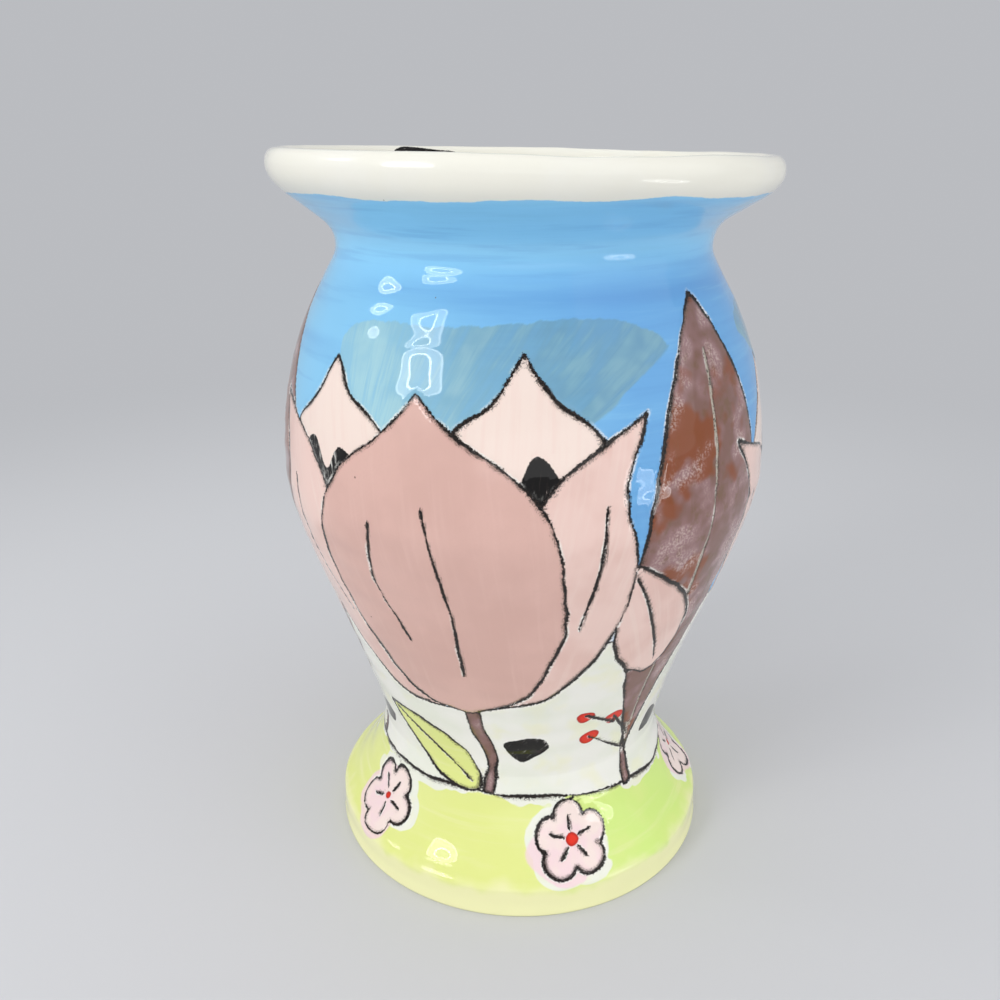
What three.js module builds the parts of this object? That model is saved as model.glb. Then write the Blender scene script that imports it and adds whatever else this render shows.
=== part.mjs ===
// Footed pottery vase, hand-thrown in four sections and luted together with clay slip.
// Millimetres, +Z up. The origin is the centre of the foot ring, on the surface it stands on.

import * as THREE from 'three';

// Heights of the thrown sections and their seams, from the foot up
const FOOT_HEIGHT = 49.5;
const LOWER_BELLY_HEIGHT = 115;
const UPPER_BELLY_HEIGHT = 82;
const COLLAR_HEIGHT = 13.5;
const LIP_RISE = 13;
const LIP_CROWN = 5.5;
const SLIP_THICKNESS = 1;

// Outer radii, where the outline turns
const FOOT_RADIUS = 81.2;
const WAIST_RADIUS = 60.5;
const BELLY_RADIUS = 94.4;
const NECK_RADIUS = 70;
const COLLAR_TOP_RADIUS = 81;
const LIP_RADIUS = 92.6;

// Clay thicknesses
const WALL = 6.5;
const FLOOR = 8;
const FLOOR_FILLET = 14;
const FOOT_WALL = 8;
const FOOT_RING_WIDTH = 8;
const COLLAR_TOP_WIDTH = 9.5;
const LIP_THICKNESS = 8.2;

// Foot: an upright side with eased edges, and a hollow bell above it
const FOOT_SIDE_HEIGHT = 13.5;
const FOOT_SIDE_TAPER = 1;
const FOOT_TOP_EASING = 2.5;
const FOOT_BASE_EASING = 1;
const FOOT_HOLLOW_SIDE = 9;
const FOOT_HOLLOW_DRAFT = 2;
const BELL_LEAN = -1.45;

// Radius gained for each millimetre of height, at the top of the collar
const COLLAR_LEAN = 1.3;

// A score mark runs round each luted face, and the slip fills it
const SCORE_WIDTH = 1.8;
const SCORE_DEPTH = 0.9;
const SCORE_CLEARANCE = 0.3;

// Fullness of each curve: how far it keeps its end's direction, as a share of its rise
const BELL_EASE = { low: 0.16, high: 0.38 };
const LOWER_BELLY_EASE = { low: 0.172, high: 0.187 };
const UPPER_BELLY_EASE = { low: 0.62, high: 0.1 };
const COLLAR_EASE = { low: 0.44, high: 0.37 };
const LIP_EASE = { low: 0.1, high: 0.56 };

// Finishes
const FOOT_GLAZE = { color: 0xdcec8c, roughness: 0.12 };
const BODY_GLAZE = { color: 0xe4beb2, roughness: 0.12 };
const COLLAR_GLAZE = { color: 0x7fb9e8, roughness: 0.12 };
const LIP_GLAZE = { color: 0xeceadd, roughness: 0.12 };
const FIRED_SLIP = { color: 0xddd6c6, roughness: 0.35 };

// Facets round the vase, and steps along its curves
const SEGMENTS = 48;
const BELLY_STEPS = 9;
const SHORT_CURVE_STEPS = 6;
const ROUND_STEPS = 4;
const SAME_POINT = 1e-6;

const waistBelow = FOOT_HEIGHT;
const waistAbove = waistBelow + SLIP_THICKNESS;
const bellyLevel = waistAbove + LOWER_BELLY_HEIGHT;
const neckBelow = bellyLevel + UPPER_BELLY_HEIGHT;
const neckAbove = neckBelow + SLIP_THICKNESS;
const collarTop = neckAbove + COLLAR_HEIGHT;
const lipBase = collarTop + SLIP_THICKNESS;
const lipLevel = lipBase + LIP_RISE;

// Radii of the faces that meet at each seam
const waistFace = { inner: WAIST_RADIUS - FOOT_WALL, outer: WAIST_RADIUS };
const neckFace = { inner: NECK_RADIUS - WALL, outer: NECK_RADIUS };
const collarTopFace = { inner: COLLAR_TOP_RADIUS - COLLAR_TOP_WIDTH, outer: COLLAR_TOP_RADIUS };
const lipGain = COLLAR_LEAN * SLIP_THICKNESS;
const lipBaseFace = { inner: collarTopFace.inner + lipGain, outer: collarTopFace.outer + lipGain };

const at = (radius, height) => new THREE.Vector2(radius, height);

// One smooth wall from low to high. A lean is the radius gained per height at that end.
function sweep(low, high, ease, steps, lean = {}) {
  const rise = high.y - low.y;
  const lowHandle = at((lean.low ?? 0) * rise * ease.low, rise * ease.low);
  const highHandle = at((lean.high ?? 0) * rise * ease.high, rise * ease.high);
  const afterLow = low.clone().add(lowHandle);
  const beforeHigh = high.clone().sub(highHandle);
  return new THREE.CubicBezierCurve(low, afterLow, beforeHigh, high).getPoints(steps);
}

// A quarter of an ellipse round the centre, anticlockwise unless it is said to be clockwise
function quarter(centre, across, up, startAngle, clockwise = false) {
  const endAngle = startAngle + (clockwise ? -Math.PI / 2 : Math.PI / 2);
  const ellipse = new THREE.EllipseCurve(centre.x, centre.y, across, up, startAngle, endAngle, clockwise);
  return ellipse.getPoints(ROUND_STEPS);
}

function radiusAt(points, height) {
  const next = points.findIndex((point) => point.y >= height);
  const [a, b] = [points[next - 1], points[next]];
  return THREE.MathUtils.mapLinear(height, a.y, b.y, a.x, b.x);
}

// A flat luted face from its inner to its outer edge, with the score mark cut or filled along it
function lutedFace(face, height, direction, clearance) {
  const middle = (face.inner + face.outer) / 2;
  const half = SCORE_WIDTH / 2 + clearance;
  const scored = height + direction * (SCORE_DEPTH + clearance);
  return [
    at(face.inner, height),
    at(middle - half, height),
    at(middle - half, scored),
    at(middle + half, scored),
    at(middle + half, height),
    at(face.outer, height),
  ];
}

const scoredTop = (face, height) => lutedFace(face, height, -1, SCORE_CLEARANCE);
const scoredBase = (face, height) => lutedFace(face, height, 1, SCORE_CLEARANCE);

// Turns an outline, given anticlockwise with the axis on its left, into a solid of revolution
function thrown(name, outline, finish) {
  const points = outline.filter((point, i) => i === 0 || point.distanceTo(outline[i - 1]) > SAME_POINT);
  const geometry = new THREE.LatheGeometry(points, SEGMENTS);
  geometry.rotateX(Math.PI / 2);
  const material = new THREE.MeshStandardMaterial({ ...finish, metalness: 0 });
  const mesh = new THREE.Mesh(geometry, material);
  mesh.name = name;
  return mesh;
}

const closed = (outline) => [...outline, outline[0].clone()];

function foot() {
  const sideTopRadius = FOOT_RADIUS - FOOT_SIDE_TAPER;
  const edgeRadius = sideTopRadius - FOOT_TOP_EASING / 2;
  const ringInner = FOOT_RADIUS - FOOT_BASE_EASING - FOOT_RING_WIDTH;
  const bell = sweep(
    at(edgeRadius, FOOT_SIDE_HEIGHT),
    at(waistFace.outer, waistBelow),
    BELL_EASE,
    SHORT_CURVE_STEPS,
    { low: BELL_LEAN },
  );
  const hollow = sweep(
    at(ringInner - FOOT_HOLLOW_DRAFT, FOOT_HOLLOW_SIDE),
    at(waistFace.inner, waistBelow),
    BELL_EASE,
    SHORT_CURVE_STEPS,
    { low: BELL_LEAN },
  );
  return thrown('foot', closed([
    at(ringInner, 0),
    at(FOOT_RADIUS - FOOT_BASE_EASING, 0),
    at(FOOT_RADIUS, FOOT_BASE_EASING),
    at(sideTopRadius, FOOT_SIDE_HEIGHT - FOOT_TOP_EASING),
    ...bell,
    ...scoredTop(waistFace, waistBelow).reverse(),
    ...hollow.reverse(),
  ]), FOOT_GLAZE);
}

function body() {
  const bellyOuter = at(BELLY_RADIUS, bellyLevel);
  const lowerOuter = sweep(at(waistFace.outer, waistAbove), bellyOuter, LOWER_BELLY_EASE, BELLY_STEPS);
  const upperOuter = sweep(bellyOuter, at(neckFace.outer, neckBelow), UPPER_BELLY_EASE, BELLY_STEPS);
  const bellyInner = at(BELLY_RADIUS - WALL, bellyLevel);
  const lowerInner = sweep(at(WAIST_RADIUS - WALL, waistAbove), bellyInner, LOWER_BELLY_EASE, BELLY_STEPS);
  const upperInner = sweep(bellyInner, at(neckFace.inner, neckBelow), UPPER_BELLY_EASE, BELLY_STEPS);
  const floorTop = waistAbove + FLOOR;
  const filletTop = floorTop + FLOOR_FILLET;
  const filletCentre = at(radiusAt(lowerInner, filletTop) - FLOOR_FILLET, filletTop);
  const floorCorner = quarter(filletCentre, FLOOR_FILLET, FLOOR_FILLET, 0, true);
  return thrown('body', [
    at(0, waistAbove),
    ...scoredBase(waistFace, waistAbove),
    ...lowerOuter,
    ...upperOuter,
    ...scoredTop(neckFace, neckBelow).reverse(),
    ...upperInner.reverse(),
    ...lowerInner.filter((point) => point.y > filletTop).reverse(),
    ...floorCorner,
    at(0, floorTop),
  ], BODY_GLAZE);
}

function collar() {
  const outer = sweep(
    at(neckFace.outer, neckAbove),
    at(collarTopFace.outer, collarTop),
    COLLAR_EASE,
    SHORT_CURVE_STEPS,
    { high: COLLAR_LEAN },
  );
  const inner = sweep(
    at(neckFace.inner, neckAbove),
    at(collarTopFace.inner, collarTop),
    COLLAR_EASE,
    SHORT_CURVE_STEPS,
    { high: COLLAR_LEAN },
  );
  return thrown('collar', closed([
    ...scoredBase(neckFace, neckAbove),
    ...outer,
    ...scoredTop(collarTopFace, collarTop).reverse(),
    ...inner.reverse(),
  ]), COLLAR_GLAZE);
}

function rolledLip() {
  const crestRadius = LIP_RADIUS - LIP_THICKNESS / 2;
  const crestCentre = at(crestRadius, lipLevel);
  const outer = sweep(
    at(lipBaseFace.outer, lipBase),
    at(LIP_RADIUS, lipLevel),
    LIP_EASE,
    SHORT_CURVE_STEPS,
    { low: COLLAR_LEAN },
  );
  const inner = sweep(
    at(lipBaseFace.inner, lipBase),
    at(LIP_RADIUS - LIP_THICKNESS, lipLevel),
    LIP_EASE,
    SHORT_CURVE_STEPS,
    { low: COLLAR_LEAN },
  );
  return thrown('rolled_lip', closed([
    ...scoredBase(lipBaseFace, lipBase),
    ...outer,
    ...quarter(crestCentre, LIP_THICKNESS / 2, LIP_CROWN, 0),
    ...quarter(crestCentre, LIP_THICKNESS / 2, LIP_CROWN, Math.PI / 2),
    ...inner.reverse(),
  ]), LIP_GLAZE);
}

// A ring of slip squeezed between two luted faces
function slipRing(name, lower, lowerHeight, upper, upperHeight) {
  return thrown(name, closed([
    ...lutedFace(lower, lowerHeight, -1, 0),
    ...lutedFace(upper, upperHeight, 1, 0).reverse(),
  ]), FIRED_SLIP);
}

const vase = new THREE.Group();
vase.add(
  foot(),
  slipRing('waist_slip_seam', waistFace, waistBelow, waistFace, waistAbove),
  body(),
  slipRing('neck_slip_seam', neckFace, neckBelow, neckFace, neckAbove),
  collar(),
  slipRing('lip_slip_seam', collarTopFace, collarTop, lipBaseFace, lipBase),
  rolledLip(),
);

export default vase;
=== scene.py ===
"""A footed pottery vase, brushed with underglaze colours, incised and clear glazed."""
import math

import bpy
import numpy as np
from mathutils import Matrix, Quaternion, Vector


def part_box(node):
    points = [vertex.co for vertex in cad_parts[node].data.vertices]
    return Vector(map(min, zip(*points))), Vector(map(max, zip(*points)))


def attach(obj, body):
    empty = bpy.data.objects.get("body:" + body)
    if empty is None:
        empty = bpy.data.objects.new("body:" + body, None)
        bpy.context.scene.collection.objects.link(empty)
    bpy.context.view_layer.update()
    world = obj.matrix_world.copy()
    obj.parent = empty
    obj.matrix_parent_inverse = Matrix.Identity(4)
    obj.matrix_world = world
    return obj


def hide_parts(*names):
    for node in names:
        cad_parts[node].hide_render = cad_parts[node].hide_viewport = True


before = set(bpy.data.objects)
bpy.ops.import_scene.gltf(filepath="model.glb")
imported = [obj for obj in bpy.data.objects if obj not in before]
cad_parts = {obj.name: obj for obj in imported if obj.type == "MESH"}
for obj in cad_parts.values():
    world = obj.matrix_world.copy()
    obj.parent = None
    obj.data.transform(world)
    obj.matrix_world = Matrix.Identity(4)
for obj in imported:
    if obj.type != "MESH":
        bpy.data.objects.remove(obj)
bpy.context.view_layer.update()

# Everything below is in millimetres until a mesh, a lamp or the camera is made
MM = 0.001

# Mesh density: columns round the vase, and steps along its outlines
COLUMNS = 480
OUTER_STEP = 1.37
PLAIN_STEP = 7.0
FILLET_STEP = 4.0
COLLAR_INSIDE_STEP = 2.5
RING_STEP = 2.0
CROWN_STEP = 0.8
CORNER_STEP = 0.7
SEAM_STEP = 0.6
SAME_POINT = 1e-6

# Clay thicknesses and small forms, as in the solids
WALL = 6.5
FLOOR = 8.0
FLOOR_FILLET = 14.0
FOOT_WALL = 8.0
FOOT_RING_WIDTH = 8.0
FOOT_SIDE_HEIGHT = 13.5
FOOT_SIDE_TAPER = 1.0
FOOT_TOP_EASING = 2.5
FOOT_BASE_EASING = 1.0
FOOT_HOLLOW_SIDE = 9.0
FOOT_HOLLOW_DRAFT = 2.0
COLLAR_TOP_WIDTH = 9.5
LIP_THICKNESS = 8.2
SCORE_WIDTH = 1.8
SCORE_DEPTH = 0.9
SCORE_CLEARANCE = 0.3

# Shifts, outwards and up, that turn the foot's sharp edges into soft ones: the corners that they are
# drawn towards, and the low and the high end of the side between them, outwards only
BASE_CORNER = (-0.25, 0.1)
TOP_CORNER = (-0.1, -0.4)
SIDE_ENDS = (-0.3, 0.1)

# Radius gained per height where a curve doesn't start or end upright
BELL_LEAN = -1.45
COLLAR_LEAN = 1.3

# Fullness of each curve at its low and its high end, as a share of its rise
BELL_EASE = (0.16, 0.38)
LOWER_BELLY_EASE = (0.172, 0.187)
UPPER_BELLY_EASE = (0.62, 0.1)
COLLAR_EASE = (0.44, 0.37)
LIP_EASE = (0.1, 0.56)

# The lip was left a little out of level: it is lower on its right
LIP_DIP = 2.8
DIP_START = 254.0

# Colours, as red, green and blue from 0 to 255
SKY = (108, 169, 220)
# Painted light: the next blue is the sky's colour on the left, painted lighter as though lit from there; it
# also lightens brush streaks
SKY_LIT_AND_STREAKED = (134, 196, 232)
SKY_DEEP = (96, 152, 208)
# Painted light: a paler sky blue for the neck just under the lip, where the lip shades it
SKY_PAINTED_LIGHT = (149, 214, 250)
WASH = (107, 152, 175)
WASH_STROKE = (132, 173, 184)
WASH_LEFT = (158, 206, 221)
WASH_STROKE_LEFT = (182, 220, 223)
CREAM = (238, 237, 229)
CREAM_SHADE = (231, 233, 219)
LIP_CREAM = (237, 235, 223)
PINK = (217, 178, 167)
PINK_SHADE = (208, 169, 158)
BLUSH = (233, 202, 192)
PALE = (238, 219, 208)
BROWN = (128, 96, 88)
BROWN_RED = (134, 70, 34)
MAUVE = (152, 120, 121)
MAUVE_PALE = (205, 182, 174)
OLIVE = (112, 88, 58)
BLACK = (12, 9, 8)
BLACK_THIN = (58, 48, 45)
RED = (222, 44, 20)
RED_DEEP = (176, 30, 16)
LIME = (222, 229, 141)
LIME_GREEN = (207, 233, 132)
LIME_YELLOW = (224, 230, 150)
LIME_PALE = (236, 234, 184)
BLOOM = (240, 222, 215)
LILAC = (238, 209, 214)
CHARCOAL = (14, 10, 9)
CRUMB = (72, 58, 50)
HALO = (243, 241, 234)
SCRATCH = (203, 192, 176)
BARE_CLAY = (214, 196, 170)
BARE_CLAY_SHADE = (196, 174, 146)
SPECK = (96, 74, 62)

# The potter's fingers left rings this far apart
FINGER_STEP = 11.0


def linear(colour):
    """A colour from 0 to 255 as the linear colour that a shader takes"""
    share = np.array(colour, float) / 255
    light = np.where(share <= 0.04045, share / 12.92, ((share + 0.055) / 1.055) ** 2.4)
    return (*light, 1.0)


# The frame's sizes

def level(node, end):
    """Height of a solid's lowest (0) or highest (1) point, in mm"""
    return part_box(node)[end].z / MM


def widest(node):
    """Largest radius of a solid and the height at which it has it, in mm"""
    points = np.array([v.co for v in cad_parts[node].data.vertices]) / MM
    radii = np.hypot(points[:, 0], points[:, 1])
    return radii.max(), points[radii.argmax(), 2]


FOOT_RADIUS = widest("foot")[0]
WAIST_RADIUS = widest("waist_slip_seam")[0]
BELLY_RADIUS, BELLY_LEVEL = widest("body")
NECK_RADIUS = widest("neck_slip_seam")[0]
COLLAR_TOP_RADIUS = widest("collar")[0]
LIP_BASE_RADIUS = widest("lip_slip_seam")[0]
LIP_RADIUS, LIP_LEVEL = widest("rolled_lip")
WAIST_BELOW, WAIST_ABOVE = level("foot", 1), level("body", 0)
NECK_BELOW, NECK_ABOVE = level("body", 1), level("collar", 0)
COLLAR_TOP, LIP_BASE = level("collar", 1), level("rolled_lip", 0)
LIP_TOP = level("rolled_lip", 1)

WAIST_FACE = (WAIST_RADIUS - FOOT_WALL, WAIST_RADIUS)
NECK_FACE = (NECK_RADIUS - WALL, NECK_RADIUS)
COLLAR_TOP_FACE = (COLLAR_TOP_RADIUS - COLLAR_TOP_WIDTH, COLLAR_TOP_RADIUS)
LIP_BASE_FACE = (LIP_BASE_RADIUS - COLLAR_TOP_WIDTH, LIP_BASE_RADIUS)


# Outlines, as rows of (radius, height)

def sweep(low, high, ease, lean=(0.0, 0.0), step=OUTER_STEP):
    """One smooth wall from low to high"""
    low, high = np.array(low, float), np.array(high, float)
    rise = high[1] - low[1]
    after_low = low + np.array([lean[0], 1.0]) * rise * ease[0]
    before_high = high - np.array([lean[1], 1.0]) * rise * ease[1]
    count = max(3, round(np.hypot(*(high - low)) / step))
    t = np.linspace(0, 1, 40 * count)[:, None]
    lower_half = (1 - t) ** 3 * low + 3 * t * (1 - t) ** 2 * after_low
    return evenly(lower_half + 3 * t ** 2 * (1 - t) * before_high + t ** 3 * high, step)


def lengths_along(curve):
    """How far along a line each of its points is"""
    return np.concatenate([[0], np.cumsum(np.hypot(*np.diff(curve, axis=0).T))])


def evenly(curve, step):
    """The same line with its points a step apart"""
    lengths = lengths_along(curve)
    places = np.linspace(0, lengths[-1], max(2, round(lengths[-1] / step) + 1))
    return np.stack([np.interp(places, lengths, curve[:, k]) for k in (0, 1)], 1)


def straight(start, end, step):
    return evenly(np.array([start, end], float), step)


def quarter(centre, across, up, start, turn, step):
    """A quarter of an ellipse from the start angle, in degrees; turn is 1 for anticlockwise"""
    angle = np.radians(start + turn * np.linspace(0, 90, 200))
    curve = np.stack([centre[0] + across * np.cos(angle), centre[1] + up * np.sin(angle)], 1)
    return evenly(curve, step)


def rounded_corner(start, corner, end):
    """A soft corner between two points, drawn towards the corner"""
    start, corner, end = (np.array(p, float) for p in (start, corner, end))
    t = np.linspace(0, 1, 60)[:, None]
    return evenly((1 - t) ** 2 * start + 2 * t * (1 - t) * corner + t ** 2 * end, CORNER_STEP)


# What each stretch of an outline is
PAINTED, INSIDE, HIDDEN, BARE = range(4)


class Outline:
    """The section of a turned piece, made of stretches that meet at sharp edges or run on"""

    def __init__(self):
        self.points, self.kinds, self.sharp = [], [], []

    def add(self, points, kind, runs_on=False, creases=False):
        """Joins a stretch on; creases makes every corner in it sharp"""
        for point in points:
            if self.points and math.dist(self.points[-1], point) < SAME_POINT:
                self.sharp[-1] = not runs_on
                if kind in (PAINTED, INSIDE):
                    self.kinds[-1] = kind
                continue
            self.points.append(tuple(point))
            self.kinds.append(kind)
            self.sharp.append(creases)

    def run_on(self, points, kind):
        """Joins a stretch on without an edge"""
        self.add(points, kind, runs_on=True)

    def lute(self, face, height, direction, clearance=SCORE_CLEARANCE, inwards=False):
        """Joins on a flat face with the score mark along it; direction is 1 where the mark goes up"""
        middle = sum(face) / 2
        half = SCORE_WIDTH / 2 + clearance
        scored = height + direction * (SCORE_DEPTH + clearance)
        points = [
            (face[0], height), (middle - half, height), (middle - half, scored),
            (middle + half, scored), (middle + half, height), (face[1], height),
        ]
        self.add(points[::-1] if inwards else points, HIDDEN, creases=True)

    def close(self):
        """Makes the last point, which lies on the first, the only one of the two"""
        if self.kinds[0] == BARE:
            self.kinds[-1] = BARE
        self.sharp[-1] = True
        for values in (self.points, self.kinds, self.sharp):
            del values[0]
        return self


def foot_outline():
    side_top = FOOT_RADIUS - FOOT_SIDE_TAPER
    edge = (side_top - FOOT_TOP_EASING / 2, FOOT_SIDE_HEIGHT)
    ring_outer = FOOT_RADIUS - FOOT_BASE_EASING
    ring_inner = ring_outer - FOOT_RING_WIDTH
    bell = sweep(edge, (WAIST_RADIUS, WAIST_BELOW), BELL_EASE, (BELL_LEAN, 0))
    base_corner = (FOOT_RADIUS + BASE_CORNER[0], BASE_CORNER[1])
    side_start = (FOOT_RADIUS + SIDE_ENDS[0], FOOT_BASE_EASING)
    side_end = (side_top + SIDE_ENDS[1], FOOT_SIDE_HEIGHT - FOOT_TOP_EASING)
    top_corner = (side_top + TOP_CORNER[0], FOOT_SIDE_HEIGHT + TOP_CORNER[1])
    hollow_low = (ring_inner - FOOT_HOLLOW_DRAFT, FOOT_HOLLOW_SIDE)
    hollow = sweep(hollow_low, (WAIST_FACE[0], WAIST_BELOW), BELL_EASE, (BELL_LEAN, 0), PLAIN_STEP)
    section = Outline()
    section.add(straight((ring_inner, 0), (ring_outer, 0), RING_STEP), BARE)
    section.run_on(rounded_corner((ring_outer, 0), base_corner, side_start), PAINTED)
    section.run_on(straight(side_start, side_end, OUTER_STEP), PAINTED)
    section.run_on(rounded_corner(side_end, top_corner, bell[2]), PAINTED)
    section.run_on(bell[2:], PAINTED)
    section.lute(WAIST_FACE, WAIST_BELOW, -1, inwards=True)
    section.add(hollow[::-1], INSIDE)
    section.run_on(straight(hollow_low, (ring_inner, 0), RING_STEP), INSIDE)
    return section.close()


def body_outline():
    widest_outer = (BELLY_RADIUS, BELLY_LEVEL)
    widest_inner = (BELLY_RADIUS - WALL, BELLY_LEVEL)
    lower_inner = sweep((WAIST_RADIUS - WALL, WAIST_ABOVE), widest_inner, LOWER_BELLY_EASE, step=PLAIN_STEP)
    upper_inner = sweep(widest_inner, (NECK_FACE[0], NECK_BELOW), UPPER_BELLY_EASE, step=PLAIN_STEP)
    floor_top = WAIST_ABOVE + FLOOR
    fillet_top = floor_top + FLOOR_FILLET
    fillet_radius = np.interp(fillet_top, lower_inner[:, 1], lower_inner[:, 0])
    fillet_centre = (fillet_radius - FLOOR_FILLET, fillet_top)
    fillet = quarter(fillet_centre, FLOOR_FILLET, FLOOR_FILLET, 0, -1, FILLET_STEP)
    section = Outline()
    section.add(straight((0, WAIST_ABOVE), (WAIST_FACE[0], WAIST_ABOVE), PLAIN_STEP), INSIDE)
    section.lute(WAIST_FACE, WAIST_ABOVE, 1)
    section.add(sweep((WAIST_RADIUS, WAIST_ABOVE), widest_outer, LOWER_BELLY_EASE), PAINTED)
    section.run_on(sweep(widest_outer, (NECK_RADIUS, NECK_BELOW), UPPER_BELLY_EASE), PAINTED)
    section.lute(NECK_FACE, NECK_BELOW, -1, inwards=True)
    section.add(upper_inner[::-1], INSIDE)
    section.run_on(lower_inner[lower_inner[:, 1] > fillet_top + 1][::-1], INSIDE)
    section.run_on(fillet, INSIDE)
    section.run_on(straight(fillet[-1], (0, floor_top), PLAIN_STEP), INSIDE)
    return section


def collar_outline():
    inner, outer = (
        sweep((low, NECK_ABOVE), (high, COLLAR_TOP), COLLAR_EASE, (0, COLLAR_LEAN), step)
        for low, high, step in zip(NECK_FACE, COLLAR_TOP_FACE, (COLLAR_INSIDE_STEP, OUTER_STEP))
    )
    section = Outline()
    section.lute(NECK_FACE, NECK_ABOVE, 1)
    section.add(outer, PAINTED)
    section.lute(COLLAR_TOP_FACE, COLLAR_TOP, -1, inwards=True)
    section.add(inner[::-1], INSIDE)
    return section.close()


def lip_outline():
    inner, outer = (
        sweep((low, LIP_BASE), (high, LIP_LEVEL), LIP_EASE, (COLLAR_LEAN, 0))
        for low, high in zip(LIP_BASE_FACE, (LIP_RADIUS - LIP_THICKNESS, LIP_RADIUS))
    )
    crest = (LIP_RADIUS - LIP_THICKNESS / 2, LIP_LEVEL)
    section = Outline()
    section.lute(LIP_BASE_FACE, LIP_BASE, 1)
    section.add(outer, PAINTED)
    for start in (0, 90):
        section.run_on(quarter(crest, LIP_THICKNESS / 2, LIP_TOP - LIP_LEVEL, start, 1, CROWN_STEP), PAINTED)
    section.run_on(inner[::-1], PAINTED)
    return section.close()


def seam_outline(lower, lower_height, upper, upper_height):
    """A ring of slip between two luted faces"""
    low, high = ([(radius, height) for radius in face] for face, height in
                 ((lower, lower_height), (upper, upper_height)))
    section = Outline()
    section.lute(lower, lower_height, -1, 0)
    section.add(straight(low[1], high[1], SEAM_STEP), PAINTED)
    section.lute(upper, upper_height, 1, 0, inwards=True)
    section.add(straight(high[0], low[0], SEAM_STEP), INSIDE)
    return section.close()


# The turned surface

# Every column of a turned mesh; the first is at the back
AZIMUTHS = np.arange(COLUMNS) / COLUMNS * 2 * math.pi - math.pi

# Slow, seeded waves in space, for hand-made unevenness: size, wavelength in mm and seed
WAVE_COUNT = 18
WOBBLE = ((0.35, 26, 5), (0.16, 9, 6))
LUMPS = ((0.15, 62, 2), (0.045, 22, 3), (0.014, 12, 7))
FINGER_DRIFT = (1.4, 120, 1)
FINGER_FORCE = (0.6, 70, 4)
FINGER_DEPTH = 0.042

# Relief in mm: the mean distance inside the solid, the dip at the waist's joint, the needle's groove
# with the burr beside it, and the thickness of a dab
INSET = 0.45
JOINT_DIP, JOINT_WIDTH = 0.14, 1.6
GROOVE_DEPTH, GROOVE_WIDTH = 0.26, 0.75
BURR_HEIGHT, BURR_PLACE, BURR_WIDTH = 0.07, 1.5, 0.7
DAB_THICKNESS = 0.05
# The relief begins this far from the ends of the painted surface
SEAM_RELIEF = 5.0

# The painted design. Distances are in mm along the surface, negative inside a shape.
FAR = 12.0
OUTLINED = ("hem", "horizon", "leaf", "pink", "blush", "pale", "brown", "bloom")
BRUSHED_ONLY = ("black", "red", "wash", "spill")
FIELDS = (*OUTLINED, *BRUSHED_ONLY, "brim", "vein", "side")
# How far the strokes of a brushed colour may reach past its shape
LOOSE = {"wash": 3.0, "black": 2.0}
TIGHT = 0.4
# Neighbouring shapes take their strokes from places this far apart
STROKE_SHIFT = 61.0
# A shape laid over a line ends it within this distance
LINE_END = 0.8
# How far an open line keeps its own distances, and where it begins to give them up
VEIN_REACH = 3.0
VEIN_FADE = 2.4
# An open line that has quite faded out counts as this much farther away
FADE_PUSH = 4


def waves(points, *layers):
    """A smooth random field, the sum of its layers"""
    total = 0
    for size, length, seed in layers:
        random = np.random.default_rng(seed)
        directions = random.normal(size=(WAVE_COUNT, 3))
        directions /= np.linalg.norm(directions, axis=1)[:, None]
        phases = random.uniform(0, 2 * math.pi, WAVE_COUNT)
        layer = np.zeros(len(points))
        for direction, phase in zip(directions, phases):
            layer += np.cos(points @ direction * (2 * math.pi / length) + phase)
        total = total + size * (layer * math.sqrt(2 / WAVE_COUNT))
    return total


def turned_grid(rows):
    """Points of an outline turned round the axis"""
    radius = rows[:, :1]
    height = np.repeat(rows[:, 1:], COLUMNS, axis=1)
    return np.stack([radius * np.sin(AZIMUTHS), -radius * np.cos(AZIMUTHS), height], 2)


def grid_normals(grid):
    around = np.roll(grid, -1, axis=1) - np.roll(grid, 1, axis=1)
    normals = np.cross(around, np.gradient(grid, axis=0))
    return normals / (np.linalg.norm(normals, axis=2, keepdims=True) + 1e-12)


def settle(points):
    """Lowers the lip towards its right, and leaves the rest level"""
    share = np.clip((points[..., 2] - DIP_START) / (LIP_LEVEL - DIP_START), 0, 1)
    share = share * share * (3 - 2 * share)
    dipped = points.copy()
    dipped[..., 2] -= share * LIP_DIP * (0.5 + 0.5 * points[..., 0] / LIP_RADIUS)
    return dipped


def distance(outline, x, y, stretch):
    """Distance to a line of points, and on which side of it each place lies"""
    nearest, side = np.full(len(x), np.inf), np.ones(len(x))
    for (ax, ay), (bx, by) in zip(outline[:-1], outline[1:]):
        px, py = (x - ax) * stretch, y - ay
        ex, ey = (bx - ax) * stretch, by - ay
        t = np.clip((px * ex + py * ey) / (ex * ex + ey * ey + 1e-12), 0, 1)
        away = np.hypot(px - t * ex, py - t * ey)
        closer = away < nearest
        nearest = np.where(closer, away, nearest)
        side = np.where(closer, np.sign(ex * py - ey * px), side)
    return nearest, side


def within(outline, x, y):
    """Whether each place lies inside a closed outline"""
    found = np.zeros(len(x), bool)
    for (ax, ay), (bx, by) in zip(outline, np.roll(outline, -1, axis=0)):
        crosses = (ay > y) != (by > y)
        if crosses.any():
            found ^= crosses & (x < (bx - ax) * (y - ay) / (by - ay + 1e-12) + ax)
    return found


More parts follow.
